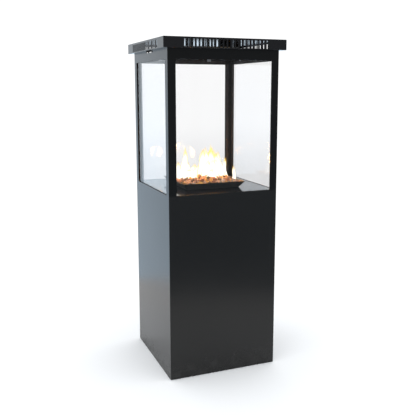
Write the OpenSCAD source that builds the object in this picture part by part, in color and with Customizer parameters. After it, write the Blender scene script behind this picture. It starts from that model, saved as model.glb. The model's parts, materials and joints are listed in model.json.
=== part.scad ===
// Free-standing outdoor gas flame heater: a square steel column whose lower half is a
// cupboard for a gas bottle and whose upper half is a glazed flame chamber under a slotted,
// lift-off cap. Front is -Y, left is -X, the floor is z = 0. All sizes are in millimetres.

/* [Column] */
// Outside width and depth of the square column
body_w = 480; // [460:1:600]
// Height from the floor to the top of the cap
total_h = 1400; // [1300:1:1700]
// Height of the cupboard, from the floor to the sill of the windows
plinth_h = 782; // [740:1:950]
// Thickness of the folded steel sheet
sheet_t = 2.5; // [1.5:0.5:3]
// Gap between the floor and the lower edge of the panels
ground_gap = 2; // [1:0.5:6]
// Height of the base plate above the floor
base_z = 12; // [10:1:20]
// Leg width of the angles inside the cupboard's corners
angle_w = 25; // [15:1:30]

/* [Windows] */
// Width of each corner post's two legs
post_w = 33; // [26:1:45]
// Height of the band above each window
header_h = 41; // [30:1:60]
// Thickness of the glass panes
glass_t = 5; // [4:0.5:8]
// Thickness of the sealing strip between the glass and the steel
seal_t = 1.5; // [1:0.25:2]
// Width of the sealing strip
seal_w = 12; // [8:1:16]
// Depth of the ledge below the sill that the panes stand on
ledge_drop = 10; // [8:1:14]
// Width of the finger notch in the top edge of the left and right headers
notch_w = 92; // [70:1:120]
// Depth of the finger notches
notch_h = 6.5; // [5:0.5:8]

/* [Cap] */
// How far the cap stands out past the column on each side
cap_overhang = 22.5; // [12:0.5:60]
// Height of the cap
cap_h = 42; // [38:1:60]
// Number of slots in each side of the cap
slot_count = 22; // [8:1:26]
// Width of each slot
slot_w = 10; // [6:0.5:12]
// Height of each slot
slot_h = 31; // [20:1:32]
// Distance from one slot to the next
slot_pitch = 16.6; // [14:0.1:18]
// Width and depth of the heat deflector under the cap's top
deflector_w = 230; // [150:1:300]
// Distance from the inside of the column's steel to the opening in the cap's floor
flue_step = 17.5; // [10:0.5:45]

/* [Burner] */
// Width of the burner tray at its rim
tray_rim_w = 280; // [250:1:340]
// Width of the burner tray at its foot
tray_foot_w = 237; // [210:1:245]
// Height of the burner tray
tray_h = 28; // [26:1:40]
// Thickness of the tray's sheet
tray_t = 1.5; // [1:0.5:2]
// Radius of the burner's ring, to the middle of its tube
ring_r = 75; // [60:1:90]
// Radius of the burner ring's tube
ring_tube_r = 6; // [5:0.5:7]
// Outer radius of the mixing tube
mixer_r = 16; // [14:0.5:18]
// Height of the stones above the tray's rim
stone_h = 14; // [8:1:30]

/* [Gas] */
// Diameter of the gas bottle
bottle_d = 300; // [230:1:310]
// Height of the gas bottle's shell
bottle_h = 450; // [380:1:460]
// Outer radius of the gas hose
hose_r = 7; // [5:0.5:8]
// Distance from the sill down to the gas valve's spindle
valve_drop = 78; // [75:1:90]

/* [Controls] */
// Diameter of the gas control knob
knob_d = 46; // [36:1:60]
// How far the control knob sinks when it is pressed
knob_travel = 4; // [2:0.5:5]
// Diameter of the igniter button
button_d = 16; // [12:1:20]
// How far the igniter button sinks when it is pressed
button_travel = 6; // [3:0.5:7]

/* [Door] */
// Gap round the rear door
door_gap = 2; // [1.5:0.5:4]
// Depth of the door's folded edges
door_edge = 15; // [10:1:20]
// Radius of the hinge pins
pin_r = 3; // [2.5:0.25:4]
// Height of each hinge
hinge_h = 70; // [50:1:90]

/* [Feet] */
// Diameter of the levelling feet
foot_d = 40; // [30:1:44]
// Radius of the levelling feet's stems
stem_r = 5; // [4:0.5:6]
// How far each levelling foot can be screwed out
foot_travel = 12; // [5:1:14]

/* [Hidden] */

$fn = 48;
e = 0.5;                                   // overrun of a cut past the face it opens
weld_gap = 0.2;                            // seam between strips that are welded end to end
run = 0.05;                                // radial clearance of a running fit
half = body_w / 2;
inner = half - sheet_t;                    // inside face of the column's steel
cap_w = body_w + 2 * cap_overhang;
flue_w = 2 * (inner - flue_step);
glass_out = inner - seal_t;                // outer face of the glass
glass_in = glass_out - glass_t;            // inner face of the glass
cap_z = total_h - cap_h;                   // underside of the cap, top of the posts
header_z = cap_z - header_h;               // top edge of the windows
ledge_z = plinth_h - ledge_drop;           // face that the panes stand on
ledge_h = 18;
glass_top = cap_z - 13;
deck_half = glass_in - 0.6;
window_half = half - post_w;               // half of the clear width between the posts
base_top = base_z + sheet_t;

// clips over the glass
clip_x = 120;
clip_w = 18;
clip_t = 2;
stud_r = 2;
stud_z = (glass_top + cap_z) / 2;
nut_h = 3.2;

// rear door and its frame
door_low = 60;                             // lower edge of the door opening
door_high = plinth_h - 148;                // upper edge of the door opening
door_half = window_half - door_gap;
knuckle_r = 5;
hinge_x = window_half - door_gap / 2;
hinge_y = half + knuckle_r;
leaf_w = 25;
leaf_t = 2;
hinge_low = door_low + 80;
hinge_top = door_high - 80 - hinge_h;
latch_x = -(door_half - 25);
latch_z = (door_low + door_high) / 2;
latch_shaft_r = 4;
cam_t = 3;
cam_reach = 36;
cam_y = inner - 6.5;                       // inner face of the latch's cam

// gas control on the rear control panel
valve_z = plinth_h - valve_drop;
valve_w = 44;
valve_d = 47.5;
valve_h = 36;
valve_y = inner - valve_d;                 // front face of the valve's body
spindle_r = 4;
pushrod_r = 2.5;
spindle_end = inner - 25;                  // inner end of the knob's spindle
knob_gap = 1;                              // left behind the knob when it is pressed
knob_low = half + knob_travel + knob_gap;
knob_l = 17;
igniter_x = -75;
barrel_r = 11;
barrel_l = 52;
barrel_lip = 3;
button_l = 30;

// burner
tray_z = plinth_h;
tray_floor = tray_z + tray_t;
tray_slope = (tray_rim_w - tray_foot_w) / 2 / tray_h;
hub_r = 18;
hub_h = 14;
ring_z = tray_floor + 8;
grate_t = 2;
grate_z = ring_z + ring_tube_r + 0.5;
grate_half = tray_foot_w / 2 + (grate_z - tray_z) * tray_slope - 2 * tray_t - 0.5;
rim_z = tray_z + tray_h;
stone_gap = 3;                             // between the stones' heap and the tray's wall
mixer_bore = mixer_r - 3;
pipe_r = 4;
pipe_bend = 18;
injector_z = valve_z + pipe_bend;          // lower face of the injector
hex_h = 12;
jet_r = 0.75;
mixer_z = injector_z + hex_h;
mixer_floor = 4;
injector_r = 6;

// pilot group behind the tray
pilot_y = tray_rim_w / 2 + 19;
pilot_x = 14;                              // spacing of the three pilot pieces
pilot_low = plinth_h - 8;
pilot_top = rim_z - 4;
pilot_shelf = plinth_h + 11;
lead_r = 2;
lead_in = 4;                               // straight steps at the ends of the leads

// gas bottle
bottle_z = base_top;
bottle_wall = 3;
foot_ring_r = 130;
foot_ring_h = 34;
shell_z = 18;                              // underside of the shell above the bottle's foot
knuckle_bend = 70;
collar_r = 100;
collar_h = 140;
collar_wall = 3;
bottle_top = bottle_z + bottle_h;
neck_r = 16;
outlet_z = bottle_top + 32;
bottle_valve_h = 58;
wheel_z = bottle_top + bottle_valve_h + 4;
wheel_h = 14;
regulator_r = 30;
regulator_x = 84;

foot_half = half - 40;                     // position of the feet from the middle
foot_pad_h = 8;
boss_r = 10;
boss_h = 14;
stem_top = base_top + boss_h + foot_travel + 6;

// Routes of the hose and the leads, as points that each curve passes through
hose_start = regulator_x + regulator_r + 14;
hose_end = valve_w / 2 + 12;
hose_route = [
  [hose_start, 0, outlet_z], [hose_start + 6, 0, outlet_z], [hose_start + 12, 0, outlet_z],
  [172, 20, outlet_z + 14], [190, 60, outlet_z + 44], [192, 110, outlet_z + 84],
  [168, 166, outlet_z + 130], [118, valve_y + 16, valve_z - 16],
  [hose_end + 16, valve_y + 20, valve_z], [hose_end + 8, valve_y + 20, valve_z],
  [hose_end, valve_y + 20, valve_z]
];
lead_low = pilot_low - 2 * lead_in;        // end of the straight run under the pilot pieces
lead_y = valve_y + 17;
valve_top = valve_z + valve_h / 2;
barrel_y = half - barrel_l;
ignition_route = [
  [-pilot_x, pilot_y, pilot_low], [-pilot_x, pilot_y, pilot_low - lead_in],
  [-pilot_x, pilot_y, lead_low], [-pilot_x - 1, pilot_y, pilot_low - 20],
  [-38, pilot_y - 6, valve_z + 24], [-64, pilot_y - 10, valve_z + 5],
  [igniter_x, barrel_y - 4 * lead_in, valve_z], [igniter_x, barrel_y - 2 * lead_in, valve_z],
  [igniter_x, barrel_y - lead_in, valve_z], [igniter_x, barrel_y, valve_z]
];
pilot_gas_route = [
  [0, pilot_y, pilot_low], [0, pilot_y, pilot_low - lead_in], [0, pilot_y, lead_low],
  [0, pilot_y + 4, pilot_low - 16], [0, valve_y + 6, valve_z + 38],
  [0, lead_y, valve_top + 2 * lead_in], [0, lead_y, valve_top + lead_in], [0, lead_y, valve_top]
];
thermocouple_route = [
  [pilot_x, pilot_y, pilot_low], [pilot_x, pilot_y, pilot_low - lead_in],
  [pilot_x, pilot_y, lead_low], [pilot_x, pilot_y + 4, pilot_low - 16],
  [pilot_x, valve_y + 6, valve_z + 38], [pilot_x, lead_y, valve_top + 2 * lead_in],
  [pilot_x, lead_y, valve_top + lead_in], [pilot_x, lead_y, valve_top]
];

// --- curves -------------------------------------------------------------------------------

// Point at t between p1 and p2 on the smooth curve through p0, p1, p2 and p3
function curve_point(p0, p1, p2, p3, t) =
  0.5 * (2 * p1 + (p2 - p0) * t + (2 * p0 - 5 * p1 + 4 * p2 - p3) * t * t
  + (3 * p1 - p0 - 3 * p2 + p3) * t * t * t);

// Route with a straight lead-in at each end, cut into a number of steps per span
function smooth_route(route, steps) =
  let (
    last = len(route) - 1,
    p = concat([2 * route[0] - route[1]], route, [2 * route[last] - route[last - 1]])
  )
  concat(
    [for (i = [0 : last - 1], s = [0 : steps - 1])
      curve_point(p[i], p[i + 1], p[i + 2], p[i + 3], s / steps)],
    [route[last]]
  );

function unit(v) = v / norm(v);

function tangents(p) =
  let (last = len(p) - 1)
  [for (i = [0 : last]) unit(p[min(i + 1, last)] - p[max(i - 1, 0)])];

// A side direction carried along the route without twisting
function carry(side, tangent) = unit(side - (side * tangent) * tangent);

function sides(t, first) =
  [for (i = 0, s = carry(first, t[0]); i < len(t);
    s = i + 1 < len(t) ? carry(s, t[i + 1]) : s, i = i + 1) s];

// A round tube swept along a route as one closed solid
module tube_along(route, r, steps, corners, first = [0.3, 0.2, 1]) {
  p = smooth_route(route, steps);
  t = tangents(p);
  s = sides(t, first);
  rings = len(p);
  points = [for (i = [0 : rings - 1], k = [0 : corners - 1])
    let (a = 360 * k / corners)
    p[i] + r * (cos(a) * s[i] + sin(a) * cross(t[i], s[i]))];
  lower = [for (i = [0 : rings - 2], k = [0 : corners - 1])
    let (next = (k + 1) % corners)
    [i * corners + k, (i + 1) * corners + k, (i + 1) * corners + next]];
  upper = [for (i = [0 : rings - 2], k = [0 : corners - 1])
    let (next = (k + 1) % corners)
    [i * corners + k, (i + 1) * corners + next, i * corners + next]];
  start_face = [for (k = [0 : corners - 1]) k];
  end_face = [for (k = [corners - 1 : -1 : 0]) (rings - 1) * corners + k];
  polyhedron(points, concat(lower, upper, [start_face, end_face]));
}

// --- shared shapes ------------------------------------------------------------------------

// A block given by its lowest and its highest corner
module block(low, high) {
  translate(low) cube(high - low);
}

// A round bar or a bore along +Y
module bar_y(r, y0, y1, x = 0, z = 0) {
  translate([x, y0, z]) rotate([-90, 0, 0]) cylinder(r = r, h = y1 - y0);
}

// A round bar along +X
module bar_x(r, x0, x1, y = 0, z = 0) {
  translate([x0, y, z]) rotate([0, 90, 0]) cylinder(r = r, h = x1 - x0);
}

// A square block whose sides lean evenly from one width to another
module leaning_block(low_w, high_w, h) {
  a = low_w / 2;
  b = high_w / 2;
  polyhedron(
    [[-a, -a, 0], [a, -a, 0], [a, a, 0], [-a, a, 0], [-b, -b, h], [b, -b, h], [b, b, h], [-b, b, h]],
    [[0, 1, 2, 3], [4, 7, 6, 5], [0, 4, 5, 1], [1, 5, 6, 2], [2, 6, 7, 3], [3, 7, 4, 0]]
  );
}

// Puts a piece that is drawn on the front onto each of the four sides
module on_all_sides() {
  for (turn = [0 : 90 : 270]) {
    rotate([0, 0, turn]) children();
  }
}

// --- cupboard -----------------------------------------------------------------------------

module base_plate() {
  color("#33363a")
  difference() {
    union() {
      block([-inner, -inner, base_z], [inner, inner, base_top]);
      for (x = [-foot_half, foot_half], y = [-foot_half, foot_half]) {
        translate([x, y, base_top - e]) cylinder(r = boss_r, h = boss_h + e);
      }
    }
    for (x = [-foot_half, foot_half], y = [-foot_half, foot_half]) {
      translate([x, y, base_z - e]) cylinder(r = stem_r + run, h = boss_h + sheet_t + 2 * e);
    }
    // holes for bolting the heater down
    for (x = [-160, 160], y = [-160, 160]) {
      translate([x, y, base_z - e]) cylinder(r = 5.5, h = sheet_t + 2 * e);
    }
    // vents that let leaking gas out
    for (x = [-75 : 25 : 75], side = [-1, 1]) {
      block([x - 4, side * 195 - 22, base_z - e], [x + 4, side * 195 + 22, base_top + e]);
    }
  }
}

module front_panel() {
  color("#1d1e20") block([-half, -half, ground_gap], [half, -inner, plinth_h]);
}

module side_panel(low_x) {
  color("#1d1e20") block([low_x, -inner, ground_gap], [low_x + sheet_t, inner, plinth_h]);
}

module rear_frame() {
  color("#1d1e20") {
    block([-half, inner, ground_gap], [half, half, door_low]);
    for (x = [-half, window_half]) {
      block([x, inner, door_low + weld_gap], [x + post_w, half, door_high]);
    }
  }
}

module control_panel() {
  color("#1d1e20")
  difference() {
    block([-half, inner, door_high], [half, half, plinth_h]);
    bar_y(spindle_r + 2, inner - e, half + e, 0, valve_z);
    bar_y(barrel_r + run, inner - e, half + e, igniter_x, valve_z);
  }
}

module corner_angles() {
  top = ledge_z - ledge_h;
  color("#4a4d52")
  on_all_sides() {
    difference() {
      block([-inner, -inner, base_top], [-inner + angle_w, -inner + angle_w, top]);
      block([-inner + sheet_t, -inner + sheet_t, base_top - e], [0, 0, top + e]);
    }
  }
}

module glass_ledges() {
  ledge_w = 22;
  color("#4a4d52")
  for (turn = [0 : 90 : 270]) {
    end = turn % 180 == 0 ? inner : inner - ledge_w - weld_gap;
    rotate([0, 0, turn]) {
      block([-end, -inner, ledge_z - ledge_h], [end, -inner + sheet_t, ledge_z]);
      block([-end, -inner, ledge_z - sheet_t], [end, -inner + ledge_w, ledge_z]);
    }
  }
}

module deck_plate() {
  color("#111213")
  difference() {
    block([-deck_half, -deck_half, ledge_z], [deck_half, deck_half, plinth_h]);
    block([-deck_half + sheet_t, -deck_half + sheet_t, ledge_z - e],
      [deck_half - sheet_t, deck_half - sheet_t, plinth_h - sheet_t]);
    translate([0, 0, ledge_z]) cylinder(r = mixer_r + 0.5, h = ledge_drop + e);
    block([-pilot_x - 8, pilot_y - 7, ledge_z], [pilot_x + 8, pilot_y + 7, plinth_h + e]);
  }
}

// --- window frame -------------------------------------------------------------------------

// The front left post; the others are turned copies
module post(turn) {
  color("#1d1e20")
  rotate([0, 0, turn])
  difference() {
    block([-half, -half, plinth_h], [-window_half, -window_half, cap_z]);
    block([-inner, -inner, plinth_h - e], [0, 0, cap_z + e]);
  }
}

// The front header with the studs for the clips; the side headers have a finger notch
module header(turn) {
  color("#1d1e20")
  rotate([0, 0, turn]) {
    difference() {
      block([-window_half, -half, header_z], [window_half, -inner, cap_z]);
      if (turn % 180 != 0) {
        block([-notch_w / 2, -half - e, cap_z - notch_h], [notch_w / 2, -inner + e, cap_z + e]);
      }
    }
    for (x = [-clip_x, clip_x]) {
      bar_y(stud_r, -inner - 1, -glass_in + clip_t + nut_h + 0.5, x, stud_z);
    }
  }
}

// The front pane; the side panes are narrower because they stand between front and rear
module glass_pane(turn) {
  end = turn % 180 == 0 ? glass_out + seal_t - 1 : glass_in - 0.5;
  color("#cfd8dc", 0.3)
  rotate([0, 0, turn]) block([-end, -glass_out, ledge_z], [end, -glass_in, glass_top]);
}

module glass_seals() {
  seal_x = window_half + 4;
  color("#0c0c0c")
  on_all_sides() {
    for (x = [-seal_x - seal_w, seal_x]) {
      block([x, -inner, plinth_h + 4], [x + seal_w, -glass_out, header_z + 2]);
    }
    block([-window_half, -inner, header_z + 5], [window_half, -glass_out, header_z + 5 + seal_w]);
  }
}

module glass_clips() {
  color("#9a9da1")
  on_all_sides() {
    for (x = [-clip_x, clip_x]) {
      difference() {
        union() {
          block([x - clip_w / 2, -inner, glass_top + 0.5], [x + clip_w / 2, -glass_in, cap_z - 1]);
          block([x - clip_w / 2, -glass_in, glass_top - 15],
            [x + clip_w / 2, -glass_in + clip_t, cap_z - 1]);
        }
        bar_y(stud_r + run, -inner - e, -glass_in + clip_t + e, x, stud_z);
      }
    }
  }
}

module clip_nuts() {
  color("#b8babd")
  on_all_sides() {
    for (x = [-clip_x, clip_x]) {
      difference() {
        translate([x, -glass_in + clip_t, stud_z]) rotate([-90, 0, 0])
          cylinder(r = 4, h = nut_h, $fn = 6);
        bar_y(stud_r + run, -glass_in, 0, x, stud_z);
      }
    }
  }
}

// --- burner -------------------------------------------------------------------------------

module burner_tray() {
  color("#17181a")
  difference() {
    translate([0, 0, tray_z]) leaning_block(tray_foot_w, tray_rim_w, tray_h);
    translate([0, 0, tray_floor])
      leaning_block(tray_foot_w - 2 * tray_t, tray_rim_w - 2 * tray_t + 2 * tray_t * tray_slope, tray_h);
    translate([0, 0, tray_z - e]) cylinder(r = mixer_r + 0.5, h = tray_t + 2 * e);
  }
}

module burner_ring() {
  port_count = 24;
  color("#8b7d6b")
  difference() {
    union() {
      translate([0, 0, ring_z]) rotate_extrude() translate([ring_r, 0]) circle(ring_tube_r);
      for (turn = [0 : 90 : 270]) {
        rotate([0, 0, turn]) bar_x(ring_tube_r - 1, hub_r - 4, ring_r, 0, ring_z);
      }
      translate([0, 0, ring_z - 5]) cylinder(r = hub_r, h = hub_h - 3);
    }
    for (k = [0 : port_count - 1]) {
      rotate([0, 0, (k + 0.5) * 360 / port_count])
        block([ring_r - 4, -0.8, ring_z + ring_tube_r - 2], [ring_r + 4, 0.8, ring_z + ring_tube_r + e]);
    }
    translate([0, 0, ring_z - 5 - e]) cylinder(r = mixer_bore, h = hub_h - 6);
  }
}

module mixer_tube() {
  top = ring_z - 5;
  color("#8b8f94")
  difference() {
    translate([0, 0, mixer_z]) cylinder(r = mixer_r, h = top - mixer_z);
    translate([0, 0, mixer_z + mixer_floor]) cylinder(r = mixer_bore, h = top - mixer_z);
    translate([0, 0, mixer_z - e]) cylinder(r = injector_r + run, h = mixer_floor + 2 * e);
    // air windows
    for (turn = [0, 90]) {
      rotate([0, 0, turn])
        block([-mixer_r - e, -6, mixer_z + 8], [mixer_r + e, 6, mixer_z + 24]);
    }
  }
}

module injector() {
  color("#b08d4a")
  difference() {
    union() {
      translate([0, 0, injector_z]) cylinder(r = 9, h = hex_h, $fn = 6);
      translate([0, 0, injector_z]) cylinder(r = injector_r, h = hex_h + mixer_floor + 4);
    }
    translate([0, 0, injector_z - e]) cylinder(r = jet_r, h = hex_h + mixer_floor + 6);
  }
}

module ember_grate() {
  bars = 7;
  pitch = 2 * grate_half / (bars + 1);
  color("#3a3634")
  difference() {
    block([-grate_half, -grate_half, grate_z], [grate_half, grate_half, grate_z + grate_t]);
    for (i = [1 : bars], side = [-1, 1]) {
      translate([side * grate_half / 2, -grate_half + i * pitch, grate_z - e])
        block([-grate_half * 0.4, -3, 0], [grate_half * 0.4, 3, grate_t + 2 * e]);
    }
  }
}

// The heap of stones as one closed solid: leaning sides below the rim, a low crown above it
module ember_bed() {
  low = grate_z + grate_t;
  rim_half = tray_rim_w / 2 - stone_gap;
  color("#d98246")
  union() {
    translate([0, 0, low])
      leaning_block(2 * (rim_half - (rim_z - low) * tray_slope), 2 * rim_half, rim_z - low);
    translate([0, 0, rim_z]) leaning_block(2 * rim_half, 1.1 * rim_half, stone_h);
  }
}

// --- pilot group --------------------------------------------------------------------------

module pilot_bracket() {
  span = pilot_x + 8;
  color("#8b8f94")
  difference() {
    union() {
      block([-span, pilot_y - 6, pilot_shelf], [span, pilot_y + 12, pilot_shelf + 2]);
      block([-span, pilot_y + 10, plinth_h], [span, pilot_y + 12, pilot_shelf + 2]);
      block([-span, pilot_y + 10, plinth_h], [span, pilot_y + 24, plinth_h + 2]);
    }
    for (x = [-pilot_x, 0, pilot_x]) {
      translate([x, pilot_y, pilot_shelf - e]) cylinder(r = 3 + run, h = 2 + 2 * e);
    }
  }
}

module pilot_burner() {
  color("#b08d4a")
  difference() {
    union() {
      translate([0, pilot_y, pilot_low]) cylinder(r = 3, h = pilot_top - pilot_low - 6);
      translate([0, pilot_y, pilot_top - 8]) cylinder(r = 5, h = 8);
    }
    translate([0, pilot_y, pilot_top - 6]) cylinder(r = 3.5, h = 6 + e);
    block([-2, pilot_y - 6, pilot_top - 5], [2, pilot_y, pilot_top + e]);
  }
}

module igniter_electrode() {
  color("#e8e4da")
  union() {
    translate([-pilot_x, pilot_y, pilot_low]) cylinder(r = 3, h = pilot_top - pilot_low - 6);
    translate([-pilot_x, pilot_y, pilot_top - 7]) cylinder(r = 1, h = 7);
    bar_x(1, -pilot_x, -6, pilot_y, pilot_top - 1);
  }
}

module thermocouple() {
  color("#c8a070")
  union() {
    translate([pilot_x, pilot_y, pilot_low]) cylinder(r = 3, h = pilot_top - pilot_low - 8);
    translate([pilot_x, pilot_y, pilot_top - 9]) cylinder(r = 2, h = 9);
  }
}

module pilot_leads() {
  color("#b87333") {
    tube_along(ignition_route, lead_r + 0.5, 6, 8, [0, 1, 0]);
    tube_along(pilot_gas_route, lead_r, 5, 8, [1, 0, 0]);
    tube_along(thermocouple_route, lead_r - 0.6, 5, 8, [1, 0, 0]);
  }
}

// --- gas supply ---------------------------------------------------------------------------

module gas_pipe() {
  color("#b87333")
  union() {
    bar_y(pipe_r, pipe_bend, valve_y, 0, valve_z);
    translate([0, pipe_bend, injector_z]) rotate([0, 90, 0]) rotate_extrude(angle = 90)
      translate([pipe_bend, 0]) circle(pipe_r);
    translate([0, valve_y - 10, valve_z]) rotate([-90, 0, 0]) cylinder(r = 8, h = 10, $fn = 6);
  }
}

module gas_valve() {
  color("#a9864a")
  difference() {
    union() {
      block([-valve_w / 2, valve_y, valve_z - valve_h / 2], [valve_w / 2, inner, valve_z + valve_h / 2]);
      bar_x(9, valve_w / 2 - 1, valve_w / 2 + 12, valve_y + 20, valve_z);
    }
    bar_y(spindle_r + run, spindle_end - knob_travel - 2, inner + e, 0, valve_z);
    bar_y(pushrod_r + run, valve_y + 6, spindle_end, 0, valve_z);
  }
}

module valve_pushrod() {
  color("#c0c0c0") bar_y(pushrod_r, valve_y + 6 + knob_travel + 1, spindle_end, 0, valve_z);
}

module control_knob() {
  flutes = 12;
  color("#141414")
  union() {
    bar_y(spindle_r, spindle_end, knob_low + 2, 0, valve_z);
    difference() {
      bar_y(knob_d / 2, knob_low, knob_low + knob_l, 0, valve_z);
      for (k = [0 : flutes - 1]) {
        translate([0, 0, valve_z]) rotate([0, k * 360 / flutes, 0])
          bar_y(3, knob_low + 5, knob_low + knob_l + e, knob_d / 2 + 1, 0);
      }
      block([-1, knob_low + knob_l - 1, valve_z + 6], [1, knob_low + knob_l + e, valve_z + knob_d / 2]);
    }
  }
}

module igniter_barrel() {
  color("#2a2a2a")
  difference() {
    union() {
      bar_y(barrel_r, half - barrel_l, half, igniter_x, valve_z);
      bar_y(barrel_r + 4, half, half + barrel_lip, igniter_x, valve_z);
    }
    bar_y(button_d / 2 + run, half + barrel_lip + 8 - button_l - button_travel, half + barrel_lip + e,
      igniter_x, valve_z);
  }
}

module igniter_button() {
  color("#b3202a")
  bar_y(button_d / 2, half + barrel_lip + 8 - button_l, half + barrel_lip + 8, igniter_x, valve_z);
}

module gas_hose() {
  color("#d9711c") tube_along(hose_route, hose_r, 8, 10);
}

// The regulator with its union nut, between the bottle's valve and the hose
module regulator() {
  color("#9aa0a6")
  union() {
    translate([36, 0, outlet_z]) rotate([0, 90, 0]) cylinder(r = 15, h = 16, $fn = 6);
    bar_x(8, 50, regulator_x, 0, outlet_z);
    translate([regulator_x, 0, outlet_z - 11]) cylinder(r = regulator_r, h = 18);
    translate([regulator_x, 0, outlet_z + 6]) cylinder(r = regulator_r - 6, h = 12);
    bar_x(hose_r, regulator_x, regulator_x + regulator_r + 14, 0, outlet_z);
  }
}

// Half outline of a vessel with rounded shoulders, from the axis at the foot to the axis on top
function drum_outline(r, low, high, bend) =
  concat(
    [[0, low]],
    [for (a = [-90 : 15 : 0]) [r - bend + bend * cos(a), low + bend + bend * sin(a)]],
    [for (a = [0 : 15 : 90]) [r - bend + bend * cos(a), high - bend + bend * sin(a)]],
    [[0, high]]
  );

// The closed steel shell with its foot ring and the collar that guards the valve
module gas_bottle() {
  shell_high = bottle_h - 6;
  color("#5f6b73")
  translate([0, 0, bottle_z])
  difference() {
    union() {
      rotate_extrude() polygon(drum_outline(bottle_d / 2, shell_z, shell_high, knuckle_bend));
      cylinder(r = foot_ring_r, h = foot_ring_h);
      translate([0, 0, shell_high - 12]) cylinder(r = collar_r, h = collar_h);
      translate([0, 0, shell_high - 12]) cylinder(r = 24, h = 18);
    }
    rotate_extrude() polygon(drum_outline(bottle_d / 2 - bottle_wall, shell_z + bottle_wall,
      shell_high - bottle_wall, knuckle_bend - bottle_wall));
    translate([0, 0, -e]) cylinder(r = foot_ring_r - bottle_wall, h = shell_z + e);
    difference() {
      translate([0, 0, shell_high]) cylinder(r = collar_r - collar_wall, h = collar_h);
      translate([0, 0, shell_high - e]) cylinder(r = 24, h = 6 + e);
    }
    // gate for the regulator, and a grip on each side
    block([0, -42, shell_high + 6], [collar_r + e, 42, shell_high + collar_h]);
    for (side = [-1, 1]) {
      block([-35, side * collar_r - 20, shell_high + 80], [35, side * collar_r + 20, shell_high + 108]);
    }
  }
}

module bottle_valve() {
  color("#b08d4a")
  difference() {
    union() {
      translate([0, 0, bottle_top]) cylinder(r = neck_r, h = bottle_valve_h);
      bar_x(11, 0, 36, 0, outlet_z);
    }
    translate([0, 0, bottle_top + bottle_valve_h - 22]) cylinder(r = spindle_r + run, h = 22 + e);
  }
}

module bottle_handwheel() {
  lobes = 6;
  color("#2f6f3e")
  union() {
    translate([0, 0, wheel_z - 22]) cylinder(r = spindle_r, h = 24);
    difference() {
      translate([0, 0, wheel_z]) cylinder(r = 30, h = wheel_h);
      for (k = [0 : lobes - 1]) {
        rotate([0, 0, k * 360 / lobes]) translate([33, 0, wheel_z - e]) cylinder(r = 8, h = wheel_h + 2 * e);
      }
      difference() {
        translate([0, 0, wheel_z + 5]) cylinder(r = 22, h = wheel_h);
        translate([0, 0, wheel_z + 5 - e]) cylinder(r = 9, h = wheel_h);
      }
    }
  }
}

// --- rear door ----------------------------------------------------------------------------

knuckle_split = hinge_h / 3;
knuckle_gap = 0.4;

// One knuckle between two heights of a hinge, with the tab that ties it to its leaf
module knuckle(z0, z1, side) {
  translate([hinge_x, hinge_y, z0]) cylinder(r = knuckle_r, h = z1 - z0);
  tab_end = hinge_x + side * (knuckle_r + 1);
  block([min(hinge_x, tab_end), half, z0], [max(hinge_x, tab_end), half + leaf_t, z1]);
}

module hinge_leaf(low, side) {
  near = hinge_x + side * (knuckle_r + 0.5);
  far = hinge_x + side * leaf_w;
  top = low + hinge_h;
  difference() {
    union() {
      block([min(near, far), half, low], [max(near, far), half + leaf_t, top]);
      if (side > 0) {
        knuckle(low, low + knuckle_split - knuckle_gap, side);
        knuckle(top - knuckle_split + knuckle_gap, top, side);
      } else {
        knuckle(low + knuckle_split, top - knuckle_split, side);
      }
    }
    translate([hinge_x, hinge_y, low - e]) cylinder(r = pin_r + run, h = hinge_h + 2 * e);
  }
}

module hinge_frame_leaves() {
  color("#2b2d30") {
    hinge_leaf(hinge_low, 1);
    hinge_leaf(hinge_top, 1);
  }
}

module hinge_door_leaves() {
  color("#2b2d30") {
    hinge_leaf(hinge_low, -1);
    hinge_leaf(hinge_top, -1);
  }
}

module hinge_pins() {
  color("#b8babd")
  for (low = [hinge_low, hinge_top]) {
    translate([hinge_x, hinge_y, low]) cylinder(r = pin_r, h = hinge_h);
    translate([hinge_x, hinge_y, low + hinge_h]) cylinder(r = pin_r + 1.5, h = 2);
  }
}

module door_panel() {
  low = door_low + door_gap;
  high = door_high - door_gap;
  color("#1d1e20")
  difference() {
    block([-door_half, inner - door_edge, low], [door_half, half, high]);
    block([-door_half + sheet_t, inner - door_edge - e, low + sheet_t],
      [door_half - sheet_t, inner, high - sheet_t]);
    // gap in the folded edge for the latch's cam
    block([-door_half - e, inner - door_edge - e, latch_z - cam_reach - 6],
      [-door_half + sheet_t, inner, latch_z + 14]);
    bar_y(latch_shaft_r + run, inner - e, half + e, latch_x, latch_z);
    // ventilation slots
    for (z = [low + 30 : 14 : low + 86], x = [-90, 90]) {
      block([x - 60, inner - e, z], [x + 60, half + e, z + 6]);
    }
    for (z = [high - 92 : 14 : high - 36], x = [-90, 90]) {
      block([x - 60, inner - e, z], [x + 60, half + e, z + 6]);
    }
  }
}

// Quarter-turn latch: a grip outside, a shaft through the door and a cam behind it
module door_latch() {
  grip_y = half + 0.3;
  color("#3a3c40")
  union() {
    bar_y(latch_shaft_r, cam_y, grip_y + 1, latch_x, latch_z);
    bar_y(14, grip_y, grip_y + 4, latch_x, latch_z);
    block([latch_x - 4, grip_y + 3, latch_z - 17], [latch_x + 4, grip_y + 14, latch_z + 17]);
    block([latch_x - 7, cam_y, latch_z - cam_reach], [latch_x + 7, cam_y + cam_t, latch_z + 7]);
  }
}

// --- feet ---------------------------------------------------------------------------------

module foot(side_x, side_y) {
  color("#202020")
  translate([side_x * foot_half, side_y * foot_half, 0])
  union() {
    cylinder(r = foot_d / 2, h = foot_pad_h);
    cylinder(r = 10, h = base_z, $fn = 6);
    cylinder(r = stem_r, h = stem_top);
  }
}

// --- cap ----------------------------------------------------------------------------------

cap_half = cap_w / 2;
cap_sheet = 2;
cap_floor_top = cap_z + cap_sheet;
cap_top_low = total_h - sheet_t;

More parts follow.
